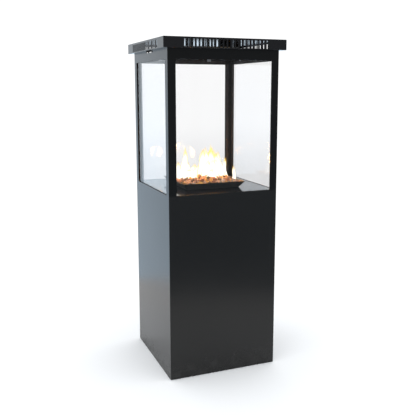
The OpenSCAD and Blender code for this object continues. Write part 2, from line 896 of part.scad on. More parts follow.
module cap_top() {
  color("#1a1b1d") block([-cap_half, -cap_half, cap_top_low], [cap_half, cap_half, total_h]);
}

// One slotted side of the cap, drawn on the front
module cap_grille(end) {
  first = -(slot_count - 1) / 2 * slot_pitch;
  slot_z = cap_floor_top + 1.5;
  difference() {
    block([-end, -cap_half, cap_z], [end, -cap_half + cap_sheet, cap_top_low]);
    for (i = [0 : slot_count - 1]) {
      block([first + i * slot_pitch - slot_w / 2, -cap_half - e, slot_z],
        [first + i * slot_pitch + slot_w / 2, -cap_half + cap_sheet + e, slot_z + slot_h]);
    }
  }
}

module cap_grilles() {
  color("#1a1b1d")
  for (turn = [0 : 90 : 270]) {
    rotate([0, 0, turn]) cap_grille(turn % 180 == 0 ? cap_half : cap_half - cap_sheet - weld_gap);
  }
}

// The cap's floor with its wide flue opening and the tabs that centre it in the headers
module cap_floor() {
  floor_half = cap_half - cap_sheet;
  color("#1a1b1d")
  union() {
    difference() {
      block([-floor_half, -floor_half, cap_z], [floor_half, floor_half, cap_floor_top]);
      block([-flue_w / 2, -flue_w / 2, cap_z - e], [flue_w / 2, flue_w / 2, cap_floor_top + e]);
    }
    on_all_sides() {
      for (x = [-notch_w / 2 - 34, notch_w / 2 + 14]) {
        block([x, -inner + 0.5, cap_z - 10], [x + 20, -inner + 2.5, cap_z + 1]);
      }
    }
  }
}

deflector_z = cap_floor_top + 14;
spacer_x = deflector_w / 2 - 20;

module heat_deflector() {
  color("#6d6f72")
  difference() {
    block([-deflector_w / 2, -deflector_w / 2, deflector_z - 10],
      [deflector_w / 2, deflector_w / 2, deflector_z + 1.5]);
    block([-deflector_w / 2 + 1.5, -deflector_w / 2 + 1.5, deflector_z - 10 - e],
      [deflector_w / 2 - 1.5, deflector_w / 2 - 1.5, deflector_z]);
  }
}

module deflector_spacers() {
  color("#8b8f94")
  for (x = [-spacer_x, spacer_x], y = [-spacer_x, spacer_x]) {
    translate([x, y, deflector_z + 1.5]) cylinder(r = 6, h = cap_top_low - deflector_z - 1.5);
  }
}

// --- what is drawn ------------------------------------------------------------------------

base_plate();
front_panel();
side_panel(-half);  // left_panel
side_panel(inner);  // right_panel
rear_frame();
control_panel();
corner_angles();
glass_ledges();
deck_plate();
post(0);  // post_front_left
post(90);  // post_front_right
post(180);  // post_rear_right
post(270);  // post_rear_left
header(0);  // header_front
header(90);  // header_right
header(180);  // header_rear
header(270);  // header_left
glass_pane(0);  // glass_front
glass_pane(90);  // glass_right
glass_pane(180);  // glass_rear
glass_pane(270);  // glass_left
glass_seals();
glass_clips();
clip_nuts();
burner_tray();
burner_ring();
mixer_tube();
injector();
ember_grate();
ember_bed();
pilot_bracket();
pilot_burner();
igniter_electrode();
thermocouple();
pilot_leads();
gas_pipe();
gas_valve();
gas_hose();
regulator();
gas_bottle();
bottle_valve();
bottle_handwheel();
igniter_barrel();
igniter_button();
valve_pushrod();
control_knob();
hinge_frame_leaves();
hinge_pins();
hinge_door_leaves();
door_panel();
door_latch();
foot(-1, -1);  // foot_front_left
foot(1, -1);  // foot_front_right
foot(1, 1);  // foot_rear_right
foot(-1, 1);  // foot_rear_left
cap_top();
cap_grilles();
cap_floor();
heat_deflector();
deflector_spacers();
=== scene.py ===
import json
import math

import bmesh
import bpy
import numpy as np
from mathutils import Matrix, Vector


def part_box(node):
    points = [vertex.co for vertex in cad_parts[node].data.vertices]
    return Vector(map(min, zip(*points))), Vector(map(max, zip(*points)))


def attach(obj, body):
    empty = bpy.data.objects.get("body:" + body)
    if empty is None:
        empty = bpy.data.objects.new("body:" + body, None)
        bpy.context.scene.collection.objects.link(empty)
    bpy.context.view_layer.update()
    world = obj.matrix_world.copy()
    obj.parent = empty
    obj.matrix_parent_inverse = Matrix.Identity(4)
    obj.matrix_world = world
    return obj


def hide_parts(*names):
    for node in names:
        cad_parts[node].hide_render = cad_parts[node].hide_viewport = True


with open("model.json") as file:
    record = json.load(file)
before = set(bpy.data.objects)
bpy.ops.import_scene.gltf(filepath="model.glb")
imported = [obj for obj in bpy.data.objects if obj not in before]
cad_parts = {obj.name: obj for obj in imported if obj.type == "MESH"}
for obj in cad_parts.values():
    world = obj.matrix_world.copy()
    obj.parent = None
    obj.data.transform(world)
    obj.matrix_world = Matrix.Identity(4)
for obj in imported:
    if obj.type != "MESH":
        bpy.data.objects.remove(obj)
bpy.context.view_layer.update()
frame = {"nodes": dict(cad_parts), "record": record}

COLUMN = "column"
MM = 0.001
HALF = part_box("front_panel")[1][0]         # half the column's width
CLOSE = 0.1 * MM                           # places nearer than this are the same place
FLAME_RIM = 1.9                            # brightness at the edge of a flame
FLAME_CORE = 1.8                           # brightness at its heart


# --- shader arithmetic ----------------------------------------------------------------------

class Wave:
    """A node's output that takes part in Python arithmetic: each operator adds its Math node."""

    def __init__(self, nodes, socket):
        self.nodes = nodes
        self.socket = socket

    def _math(self, operation, first, second=0.0, clamp=False):
        settings = {"operation": operation, "use_clamp": clamp}
        return self.nodes.node("Math", settings, {0: first, 1: second})

    def __add__(self, other):
        return self._math("ADD", self, other)

    __radd__ = __add__

    def __sub__(self, other):
        return self._math("SUBTRACT", self, other)

    def __rsub__(self, other):
        return self._math("SUBTRACT", other, self)

    def __mul__(self, other):
        return self._math("MULTIPLY", self, other)

    __rmul__ = __mul__

    def __pow__(self, other):
        return self._math("POWER", self, other)

    def absolute(self):
        return self._math("ABSOLUTE", self)

    def clamped(self):
        return self._math("ADD", self, 0.0, clamp=True)

    def above(self, low, high):
        """0 below low and 1 above high, with a smooth step between them."""
        settings = {"interpolation_type": "SMOOTHSTEP"}
        return self.nodes.node("MapRange", settings, {0: self, 1: low, 2: high})


class Nodes:
    """The nodes of a material or a world while they are being built."""

    def __init__(self, owner, output):
        self.owner = owner
        self.owner.use_nodes = True
        self.tree = self.owner.node_tree
        self.tree.nodes.clear()
        self.output = self.tree.nodes.new("ShaderNode" + output)

    def plug(self, socket, value):
        """Links a node's output to a socket, or sets the socket to a plain value."""
        if isinstance(value, Wave):
            self.tree.links.new(value.socket, socket)
        else:
            socket.default_value = value

    def node(self, kind, settings=None, values=None, output=0):
        """Adds a node: its settings are set first, a ramp's stops among them, then its sockets."""
        made = self.tree.nodes.new("ShaderNode" + kind)
        for name, setting in (settings or {}).items():
            if name == "stops":
                set_stops(made.color_ramp, setting)
            else:
                setattr(made, name, setting)
        for name, value in (values or {}).items():
            self.plug(made.inputs[name], value)
        return Wave(self, made.outputs[output])

    def mix(self, share, first, second):
        """A colour that goes from first to second with share."""
        settings = {"data_type": "RGBA"}
        return self.node("Mix", settings, {0: share, 6: first, 7: second}, output=2)

    def done(self, shader):
        self.plug(self.output.inputs["Surface"], shader)
        return self.owner


class Finish(Nodes):
    """One material and the patterns that the finishes share."""

    def __init__(self, name):
        super().__init__(bpy.data.materials.new(name), "OutputMaterial")

    def place(self):
        """Position on the object in metres, the same in every piece."""
        return self.node("TexCoord", output="Object")

    def axis(self, name):
        return self.node("SeparateXYZ", values={0: self.place()}, output=name)

    def stretched(self, scale):
        """Position with each axis scaled: a pattern is drawn out along the axes below 1."""
        return self.node("Mapping", values={"Vector": self.place(), "Scale": scale})

    def noise(self, scale, detail=2.0, rough=0.5, at=None):
        values = {"Vector": at or self.place(), "Scale": scale, "Detail": detail, "Roughness": rough}
        return self.node("TexNoise", values=values)

    def cells(self, scale, output="Distance"):
        values = {"Vector": self.place(), "Scale": scale}
        return self.node("TexVoronoi", values=values, output=output)

    def ramp(self, value, stops):
        return self.node("ValToRGB", {"stops": stops}, {0: value})

    def attribute(self, name):
        return self.node("Attribute", {"attribute_name": name}, output="Fac")

    def bump(self, height, depth):
        """A relief whose full height is depth metres."""
        return self.node("Bump", values={"Height": height, "Distance": depth, "Strength": 1.0})

    def principled(self, values):
        return self.node("BsdfPrincipled", values=values)


def set_stops(ramp, stops):
    """Gives a colour ramp these (place, colour) stops."""
    while len(ramp.elements) > 1:
        ramp.elements.remove(ramp.elements[-1])
    for k, (place, colour) in enumerate(stops):
        element = ramp.elements[0] if k == 0 else ramp.elements.new(place)
        element.position = place
        element.color = colour


def rgb(red, green, blue):
    return (red, green, blue, 1.0)


def toned(colour, gain, lift=0.0):
    """The colour made lighter or darker: each of its parts times gain, plus lift."""
    return tuple(gain * c + lift for c in colour[:3]) + (1.0,)


# --- finishes -------------------------------------------------------------------------------

def powder_coat(name, colour, rough, peel_depth=0.00002, ior=1.42):
    """Baked powder coat: orange peel a millimetre or two across, broad sheen changes and a film
    of pale dust that gathers near the ground. Inside the column the heat has dulled it."""
    f = Finish(name)
    outside = f.axis("X").absolute().above(HALF - 0.002, HALF - 0.001)
    outside = (outside + f.axis("Y").absolute().above(HALF - 0.002, HALF - 0.001)).clamped()
    broad = f.noise(2.3, 3.0)
    peel = f.noise(620.0, 2.0)
    speck = f.noise(1900.0, 1.0)
    dust = (0.12 - f.axis("Z")).above(0.0, 0.12) * f.noise(34.0, 5.0, 0.65).above(0.42, 0.75)
    tone = f.mix(broad.above(0.3, 0.7) * 0.5, colour, toned(colour, 1.35))
    return f.done(f.principled({
        "Base Color": f.mix(dust * 0.22, tone, toned(colour, 0.5, 0.055)),
        "Roughness": broad * 0.08 + 0.76 + dust * 0.2 - outside * (0.8 - rough),
        "Normal": f.bump(peel + speck * 0.4, peel_depth),
        "IOR": ior,
    }))


def gloss_enamel(name, colour, rough, ior=1.5):
    """Stoved gloss enamel: a nearly flat film with a long, faint waviness and fine wipe marks."""
    f = Finish(name)
    wave = f.noise(26.0, 2.0)
    wipes = f.noise(90.0, 6.0, 0.7, f.stretched((1.0, 6.0, 3.0)))
    smear = wipes.above(0.48, 0.8)
    return f.done(f.principled({
        "Base Color": f.mix(smear * 0.25, colour, toned(colour, 2.0, 0.004)),
        "Roughness": smear * 0.07 + rough,
        "Normal": f.bump(wave, 0.00004),
        "IOR": ior,
    }))


def galvanised(name):
    """Hot-dipped zinc: spangles of a centimetre that differ in tone and dullness."""
    f = Finish(name)
    spangle = f.node("SeparateColor", values={0: f.cells(110.0, output="Color")}, output=0)
    grain = f.noise(800.0, 3.0)
    tone = f.ramp(spangle * 0.8 + grain * 0.2,
                  [(0.0, rgb(0.36, 0.37, 0.39)), (1.0, rgb(0.62, 0.63, 0.65))])
    return f.done(f.principled({
        "Base Color": tone,
        "Metallic": 0.9,
        "Roughness": spangle * 0.18 + 0.34,
        "Normal": f.bump(grain, 0.00003),
    }))


def brushed(name, colour, rough, along, tint=0.0):
    """Brushed metal: hairlines drawn out along one axis, with an optional straw heat tint."""
    f = Finish(name)
    squeeze = tuple(0.03 if k == along else 1.0 for k in range(3))
    lines = f.noise(1500.0, 4.0, 0.7, f.stretched(squeeze))
    patch = f.noise(14.0, 3.0)
    tone = f.mix(lines.above(0.35, 0.65), toned(colour, 0.72), colour)
    straw = rgb(colour[0] * 0.9, colour[1] * 0.62, colour[2] * 0.34)
    return f.done(f.principled({
        "Base Color": f.mix(patch.above(0.45, 0.7) * tint, tone, straw),
        "Metallic": 1.0,
        "Roughness": lines * 0.16 + (rough - 0.08),
        "Normal": f.bump(lines, 0.00002),
    }))


def cast_metal(name, colour, rough, grain_size, pit_depth):
    """Cast or pressed metal: fine pitting, rubbed spots and uneven dullness."""
    f = Finish(name)
    pits = f.noise(grain_size, 3.0, 0.6)
    dull = f.noise(60.0, 4.0)
    return f.done(f.principled({
        "Base Color": f.mix(dull.above(0.35, 0.7), colour, toned(colour, 0.6)),
        "Metallic": 1.0,
        "Roughness": dull * 0.22 + (rough - 0.1),
        "Normal": f.bump(pits, pit_depth),
    }))


def heatproof_black(name):
    """Matt heat-proof enamel that has greyed and rusted a little from the fire."""
    f = Finish(name)
    ash = f.noise(55.0, 5.0, 0.65)
    rust = f.noise(21.0, 4.0, 0.6).above(0.6, 0.78)
    grain = f.noise(900.0, 3.0)
    tone = f.mix(ash.above(0.4, 0.8) * 0.35, rgb(0.034, 0.031, 0.027), rgb(0.09, 0.08, 0.07))
    return f.done(f.principled({
        "Base Color": f.mix(rust * 0.35, tone, rgb(0.09, 0.035, 0.015)),
        "Roughness": ash * 0.2 + 0.36,
        "Normal": f.bump(grain, 0.00006),
    }))


def clear_pane(name):
    """Toughened glass: clear straight on, mirror-like at a low angle, with faint smears and a grey
    film that dims the view through it, thicker lower down towards the fire. The mirrored share is
    Schlick's 0.022 + 0.978 (1 - cos)^5 at each of its two faces."""
    f = Finish(name)
    smear = f.noise(16.0, 6.0, 0.72, f.stretched((1.0, 1.0, 0.35))).above(0.5, 0.85)
    clear = f.node("BsdfTransparent", values={0: rgb(0.976, 0.976, 0.977)})
    gleam = f.node("BsdfGlossy", values={"Color": rgb(0.80, 0.80, 0.80), "Roughness": smear * 0.05 + 0.01})
    facing = f.node("LayerWeight", values={"Blend": 0.5}, output="Facing")
    share = facing ** 5.0 * 0.978 + 0.022
    # a grey film over the glass that dims the view through it, thicker lower down
    grey_veil = f.node("BsdfTransparent", values={0: rgb(0.55, 0.55, 0.56)})
    haze = (1.08 - f.axis("Z")).above(0.0, 0.30) * (f.noise(9.0, 3.0) * 0.05 + 0.09)
    film = f.node("MixShader", values={0: haze, 1: clear, 2: grey_veil})
    return f.done(f.node("MixShader", values={0: share, 1: film, 2: gleam}))


def rubber(name, colour, rough, grain_size=700.0, bloom=0.3):
    """Moulded rubber: fine pores with a greyish bloom."""
    f = Finish(name)
    pores = f.noise(grain_size, 3.0, 0.6)
    haze = f.noise(45.0, 4.0).above(0.4, 0.75) * bloom
    return f.done(f.principled({
        "Base Color": f.mix(haze, colour, toned(colour, 0.6, 0.04)),
        "Roughness": haze * 0.2 + rough,
        "Normal": f.bump(pores, 0.00005),
        "IOR": 1.5,
    }))


def moulded(name, colour, rough, grain_depth):
    """Moulded plastic: a fine spark-eroded grain, a little polished where fingers rub it."""
    f = Finish(name)
    grain = f.cells(1300.0)
    rub = f.noise(85.0, 3.0).above(0.45, 0.7)
    return f.done(f.principled({
        "Base Color": f.mix(rub * 0.5, colour, toned(colour, 1.25, 0.004)),
        "Roughness": (1.0 - rub) * 0.12 + (rough - 0.06),
        "Normal": f.bump(grain, grain_depth),
        "IOR": 1.5,
    }))


def bottle_enamel(name):
    """Grey bottle enamel with scuffs, chips down to steel low on the shell and a dusty shoulder."""
    f = Finish(name)
    scuff = f.noise(30.0, 7.0, 0.75, f.stretched((1.0, 1.0, 2.4)))
    chips = f.noise(120.0, 4.0, 0.7).above(0.64, 0.7)
    peel = f.noise(420.0, 2.0)
    tone = f.mix(scuff.above(0.45, 0.8) * 0.5, rgb(0.14, 0.17, 0.19), rgb(0.26, 0.28, 0.29))
    return f.done(f.principled({
        "Base Color": f.mix(chips * 0.7, tone, rgb(0.2, 0.13, 0.09)),
        "Metallic": chips * 0.3,
        "Roughness": scuff * 0.25 + 0.28,
        "Normal": f.bump(peel - chips * 3.0, 0.00005),
    }))


def unglazed_ceramic(name):
    """White insulator with a chalky skin and a smoke-stained tip."""
    f = Finish(name)
    chalk = f.noise(500.0, 4.0)
    stain = f.noise(70.0, 4.0).above(0.4, 0.8)
    return f.done(f.principled({
        "Base Color": f.mix(stain * 0.4, rgb(0.86, 0.83, 0.77), rgb(0.42, 0.36, 0.3)),
        "Roughness": chalk * 0.2 + 0.45,
        "Normal": f.bump(chalk, 0.00004),
    }))


def fire_stone(name):
    """Broken stone chips, each of its own warm tone, with painted flame light on them: an orange to
    yellow emission where the flames lick them stands in for the light the flames cast. The chip
    attribute holds a number per stone and the heat attribute how near the fire is, which sets how
    much of that painted flame light a chip gets."""
    f = Finish(name)
    chip = f.attribute("chip")
    heat = f.attribute("heat")
    vein = f.noise(210.0, 5.0, 0.65)
    crystal = f.cells(420.0)
    tone = f.ramp(chip, [
        (0.0, rgb(0.04, 0.022, 0.015)), (0.2, rgb(0.42, 0.17, 0.08)), (0.36, rgb(0.62, 0.38, 0.27)),
        (0.5, rgb(0.52, 0.16, 0.02)), (0.64, rgb(0.62, 0.47, 0.37)), (0.78, rgb(0.08, 0.085, 0.03)),
        (0.88, rgb(0.24, 0.08, 0.03)), (1.0, rgb(0.85, 0.45, 0.09)),
    ])
    body = f.mix(vein.above(0.5, 0.7) * 0.35, tone, rgb(0.62, 0.45, 0.32))
    # painted flame light: an orange emission, strongest nearest the fire, standing in for the flames'
    # light on the stones
    painted_flame_light = f.ramp(heat * 0.75 + vein * 0.35 - 0.1, [
        (0.0, rgb(0.0, 0.0, 0.0)), (0.4, rgb(0.05, 0.01, 0.0)), (0.65, rgb(0.6, 0.18, 0.02)),
        (0.85, rgb(1.0, 0.50, 0.08)), (1.0, rgb(1.0, 0.80, 0.32)),
    ])
    return f.done(f.principled({
        "Base Color": body,
        "Roughness": crystal * 0.3 + 0.42,
        "Normal": f.bump(vein + crystal * 0.5, 0.0009),
        "Emission Color": painted_flame_light,
        "Emission Strength": 1.0,
    }))


def flame_gas(name):
    """Burning gas: white at the heart, yellow and orange at the rim, thinning out to the tip. The
    UV map runs across each sheet of flame from 0 to 1 and up it from 0 to 1."""
    f = Finish(name)
    uv = f.node("UVMap", {"uv_map": "tongue"})
    across = f.node("SeparateXYZ", values={0: uv}, output="X")
    up = f.node("SeparateXYZ", values={0: uv}, output="Y")
    lick = f.noise(26.0, 3.0, 0.55, f.stretched((1.0, 1.0, 0.6)))
    edge = (across * 2.0 - 1.0).absolute() + (lick - 0.5) * 0.3
    tall = up + (lick - 0.5) * 0.35
    heart = (1.0 - edge).above(0.0, 0.38) * (1.0 - tall.above(0.55, 1.05))
    colour = f.ramp(heart, [
        (0.0, rgb(1.0, 0.50, 0.05)), (0.3, rgb(1.0, 0.62, 0.10)), (0.5, rgb(1.0, 0.82, 0.40)),
        (0.75, rgb(1.0, 0.94, 0.74)), (1.0, rgb(1.0, 0.97, 0.88)),
    ])
    burn = f.node("VectorMath", {"operation": "SCALE"},
                  {0: colour, "Scale": FLAME_RIM - heart * (FLAME_RIM - FLAME_CORE)})
    veil = (heart.above(0.0, 0.25) * 0.3 + heart.above(0.2, 0.75) * 0.6) * up.above(0.0, 0.07)
    clear = f.node("BsdfTransparent", values={0: rgb(1.0, 1.0, 1.0)})
    fire = f.node("Emission", values={"Color": burn, "Strength": 1.0})
    return f.done(f.node("MixShader", values={0: veil, 1: clear, 2: fire}))


def studio_floor(name):
    """Matt white ground, a little bluer under the object than further out."""
    f = Finish(name)
    far = f.node("VectorMath", {"operation": "LENGTH"}, {0: f.place()}, output=1)
    tone = f.mix(far.above(0.5, 1.2), rgb(0.925, 0.95, 0.975), rgb(0.95, 0.95, 0.95))
    return f.done(f.node("BsdfDiffuse", values={"Color": tone}))


FINISHES = {
    "panel_black": powder_coat("panel_black", rgb(0.0066, 0.0066, 0.0066), 0.24, ior=1.39),
    # painted shade: the panels' black powder coat made darker, with a weaker reflection, for the window
    # posts and headers
    "window_frame_black": powder_coat("window_frame_black", rgb(0.0030, 0.0030, 0.0031), 0.22, ior=1.35),
    "hinge_black": powder_coat("hinge_black", rgb(0.02, 0.02, 0.022), 0.38),
    "cap_gloss_black": gloss_enamel("cap_gloss_black", rgb(0.006, 0.006, 0.007), 0.12, ior=1.4),
    "deck_gloss_black": gloss_enamel("deck_gloss_black", rgb(0.010, 0.010, 0.011), 0.10),
    "galvanised_steel": galvanised("galvanised_steel"),
    "clear_glass": clear_pane("clear_glass"),
    "black_seal": rubber("black_seal", rgb(0.012, 0.012, 0.012), 0.6),
    "bright_zinc": brushed("bright_zinc", rgb(0.66, 0.67, 0.68), 0.3, 2),
    "stainless_steel": brushed("stainless_steel", rgb(0.58, 0.56, 0.53), 0.32, 0, tint=0.7),
    "burner_enamel": heatproof_black("burner_enamel"),
    "ember_stone": fire_stone("ember_stone"),
    "brass": cast_metal("brass", rgb(0.78, 0.58, 0.27), 0.34, 900.0, 0.00004),
    "copper": cast_metal("copper", rgb(0.80, 0.42, 0.26), 0.32, 700.0, 0.00002),
    "white_ceramic": unglazed_ceramic("white_ceramic"),
    "hose_rubber": rubber("hose_rubber", rgb(0.78, 0.22, 0.03), 0.42, 500.0, 0.15),
    "cast_aluminium": cast_metal("cast_aluminium", rgb(0.68, 0.69, 0.71), 0.4, 1200.0, 0.00006),
    "bottle_paint": bottle_enamel("bottle_paint"),
    "handwheel_plastic": moulded("handwheel_plastic", rgb(0.03, 0.16, 0.05), 0.5, 0.00006),
    "black_plastic": moulded("black_plastic", rgb(0.016, 0.016, 0.017), 0.45, 0.00006),
    "red_plastic": moulded("red_plastic", rgb(0.55, 0.015, 0.02), 0.25, 0.00001),
    "foot_rubber": rubber("foot_rubber", rgb(0.018, 0.018, 0.018), 0.65),
}
SLOT_OF = {s["node"]: s["material_slot"] for s in frame["record"]["subparts"]}


def finish_of(node):
    """The posts and headers of the windows get a darker copy of the panels' black powder coat with a
    weaker reflection: painted shade that makes them look darker than the panels below them.
    """
    if node.startswith(("post_", "header_")):
        return FINISHES["window_frame_black"]
    return FINISHES[SLOT_OF[node]]


for node_name, cad_object in frame["nodes"].items():
    cad_object.data.materials.clear()
    cad_object.data.materials.append(finish_of(node_name))


# --- making pieces --------------------------------------------------------------------------

FOLD = 1.6 * MM                            # radius of a sheet's outer bend


def added(name, data):
    """A new object in the scene for this mesh, lamp or camera."""
    made = bpy.data.objects.new(name, data)
    bpy.context.scene.collection.objects.link(made)
    return made


def piece(name, points, faces, slot, body=COLUMN, smooth=False):
    """A mesh object from arrays of points and faces, with its finish and the body it rides on."""
    mesh = bpy.data.meshes.new(name)
    mesh.from_pydata(np.asarray(points).tolist(), [], [tuple(int(i) for i in face) for face in faces])
    if smooth:
        mesh.shade_smooth()
    else:
        mesh.shade_flat()
    made = added(name, mesh)
    mesh.materials.append(FINISHES[slot])
    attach(made, body)
    return made


def folded(node, body, picks):
    """A copy of a CAD sheet whose picked edges are rounded as a press brake leaves them. picks
    takes an edge's two ends and says whether it is rounded."""
    source = frame["nodes"][node]
    shape = bmesh.new()
    shape.from_mesh(source.data)
    bmesh.ops.remove_doubles(shape, verts=shape.verts, dist=1e-5)
    bmesh.ops.dissolve_limit(shape, angle_limit=0.01, verts=shape.verts, edges=shape.edges)
    rounded = [e for e in shape.edges if len(e.link_faces) == 2
               and e.calc_face_angle(0.0) > 0.5 and picks(e.verts[0].co, e.verts[1].co)]
    bmesh.ops.bevel(shape, geom=rounded, offset=FOLD, segments=4, profile=0.5, affect="EDGES")
    bmesh.ops.triangulate(shape, faces=[f for f in shape.faces if len(f.verts) > 4])
    mesh = bpy.data.meshes.new(node + "_folded")
    shape.to_mesh(mesh)
    shape.free()
    mesh.shade_flat()
    made = added(mesh.name, mesh)
    mesh.materials.append(finish_of(node))
    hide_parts(node)
    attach(made, body)
    return made


def lattice(rows, around, closed=False):
    """Quads between rows of around points each. Each row is a ring, and when closed the last row
    joins the first."""
    return [(j * around + k, (j + 1) % rows * around + k,
             (j + 1) % rows * around + (k + 1) % around, j * around + (k + 1) % around)
            for j in range(rows if closed else rows - 1) for k in range(around)]


# --- stones and flames ----------------------------------------------------------------------

BED_LOW, BED_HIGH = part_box("ember_bed")
TRAY_Z, RIM_Z = (corner[2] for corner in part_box("burner_tray"))
TRAY_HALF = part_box("burner_tray")[1][0]
TRAY_FOOT = TRAY_HALF - 21.5 * MM          # half the tray's width at its foot
BED_HALF = BED_HIGH[0]
EDGE_DROP = 2 * MM                         # the heap's edge lies this far below the tray's rim
TRAY_WALL = 4.5 * MM                       # the tray's wall and the room the stones leave by it


def ball_grid():
    """Directions and faces of a ball of 42 points: the icosahedron split once."""
    shape = bmesh.new()
    bmesh.ops.create_icosphere(shape, subdivisions=2, radius=1.0)
    ways = np.array([v.co[:] for v in shape.verts])
    faces = np.array([[v.index for v in f.verts] for f in shape.faces])
    shape.free()
    return ways / np.linalg.norm(ways, axis=1)[:, None], faces


def crown(x, y):
    """Height of the heap over a place: highest in the middle, down to the rim at the sides."""
    far = np.maximum(np.abs(x), np.abs(y)) / BED_HALF
    return RIM_Z - EDGE_DROP + (BED_HIGH[2] - RIM_Z) * (1.0 - far ** 2.2)


def stone(rng, ways, size):
    """One chip: a ball cut flat by nine random planes. Along a direction d its radius is the
    least h / (d . n) over its planes. Then it is stretched and turned."""
    normals = rng.normal(size=(9, 3))
    normals /= np.linalg.norm(normals, axis=1)[:, None]
    depth = rng.uniform(0.55, 1.0, 9)
    along = ways @ normals.T
    radius = np.min(np.where(along > 0.05, depth / np.maximum(along, 0.05), 1.25), axis=1)
    radius = np.minimum(radius, 1.2)
    stretch = rng.uniform(0.7, 1.25, 3)
    turn = np.array(Matrix.Rotation(rng.uniform(0, 6.28), 3, Vector(rng.normal(size=3))))
    return (ways * radius[:, None] * stretch) @ turn.T * size


def heap_of_stones():
    """Loose chips on a jittered grid, an upper layer of larger ones over a lower layer, kept
    inside the tray's leaning walls. Each chip has a number for its tone and one, kept as its heat
    attribute, for how much painted flame light it gets."""
    rng = np.random.default_rng(11)
    ways, faces = ball_grid()
    points, all_faces, chips, flame_light_shares = [], [], [], []
    for sunk, scale, pitch in ((0.0, 1.0, 22.5 * MM), (8 * MM, 0.95, 19.5 * MM)):
        ticks = np.arange(-BED_HALF + 9 * MM, BED_HALF - 6 * MM, pitch)
        for x, y in ((x, y) for x in ticks for y in ticks):
            px = x + rng.uniform(-0.0055, 0.0055)
            py = y + rng.uniform(-0.0055, 0.0055)
            size = rng.uniform(0.0090, 0.0150) * scale
            reach = BED_HALF - size * 0.8
            px, py = np.clip(px, -reach, reach), np.clip(py, -reach, reach)
            shell = stone(rng, ways, size)
            top = crown(px, py) + rng.uniform(-0.003, 0.004) - sunk
            centre = np.array([px, py, top - shell[:, 2].max() * 0.75])
            all_faces.append(faces + len(points) * len(ways))
            points.append(shell + centre)
            chips.append(np.full(len(ways), rng.uniform(0, 1)))
            # painted flame light: chips near the main flames get more, with a random share each
            near = 1.0 - np.hypot(px - 0.02, py) / (BED_HALF * 1.15)
            flame_light_shares.append(np.full(len(ways), np.clip(near + rng.uniform(-0.35, 0.35), 0, 1)))
    points = np.concatenate(points)
    points[:, 2] = np.maximum(points[:, 2], BED_LOW[2] + 0.2 * MM)
    lean = (TRAY_HALF - TRAY_FOOT) / (RIM_Z - TRAY_Z)
    wall = TRAY_FOOT + np.clip(points[:, 2] - TRAY_Z, 0, RIM_Z - TRAY_Z) * lean - TRAY_WALL
    points[:, :2] = np.clip(points[:, :2], -wall[:, None], wall[:, None])
    made = piece("fire_stones", points, np.concatenate(all_faces), "ember_stone")
    for name, values in (("chip", chips), ("heat", flame_light_shares)):
        numbers = made.data.attributes.new(name, "FLOAT", "POINT")
        numbers.data.foreach_set("value", np.concatenate(values).astype(np.float32))
    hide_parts("ember_bed")


# Each flame: place on the bed, half width, how many sheets cross in it, and its peaks as
# (place across it from -1 to 1, height, spread), lengths in metres
FLAMES = [
    (0.048, 0.030, 0.081, 5, ((-0.60, 0.134, 0.46), (0.06, 0.150, 0.42), (0.62, 0.124, 0.42))),
    (0.056, 0.065, 0.064, 4, ((-0.42, 0.112, 0.46), (0.35, 0.124, 0.42))),
    (0.040, 0.006, 0.060, 3, ((-0.40, 0.082, 0.55), (0.40, 0.092, 0.55))),
    (-0.080, 0.015, 0.036, 4, ((-0.05, 0.143, 0.62),)),
    (-0.108, 0.040, 0.026, 3, ((0.05, 0.085, 0.60),)),
    (-0.072, 0.050, 0.046, 3, ((-0.40, 0.055, 0.50), (0.45, 0.070, 0.50))),
    (0.120, 0.040, 0.022, 4, ((0.10, 0.098, 0.60),)),
    (0.131, -0.042, 0.013, 3, ((0.00, 0.074, 0.60),)),
    (-0.060, 0.000, 0.050, 3, ((-0.30, 0.045, 0.50), (0.50, 0.050, 0.40))),
    (0.030, -0.030, 0.032, 3, ((0.00, 0.040, 0.60),)),
    (0.000, 0.100, 0.050, 3, ((-0.30, 0.060, 0.40), (0.45, 0.050, 0.40))),
]


def flame_sheet(rng, u, t, flame, way):
    """One sheet of a flame, standing along way and a little bowed. Its top is the greatest of its
    peaks h * exp(-((u - c) / s)^2), and it sways as a growing sine of its height."""
    x, y, half, _, peaks = flame
    top = np.full_like(u, 0.012)
    for place, height, spread in peaks:
        place = place * math.cos(way) + rng.uniform(-0.08, 0.08)
        height = height * rng.uniform(0.88, 1.0)
        top = np.maximum(top, height * np.exp(-((u - place) / spread) ** 2))
    sway = rng.uniform(0.002, 0.006, 2)
    phase = rng.uniform(0, 6.28, 2)
    rise = top * t
    bulge = half * 0.18 * (1 - u ** 2) * (1 - t)
    px = x + half * u * math.cos(way) * (1 - 0.25 * t) - bulge * math.sin(way)
    py = y + half * u * math.sin(way) * (1 - 0.25 * t) + bulge * math.cos(way)
    px = px + sway[0] * t * np.sin(rise * 55 + phase[0])
    py = py + sway[1] * t * np.sin(rise * 47 + phase[1])
    pz = crown(px, py) - 4 * MM + rise
    return np.stack([px.ravel(), py.ravel(), pz.ravel()], axis=1)


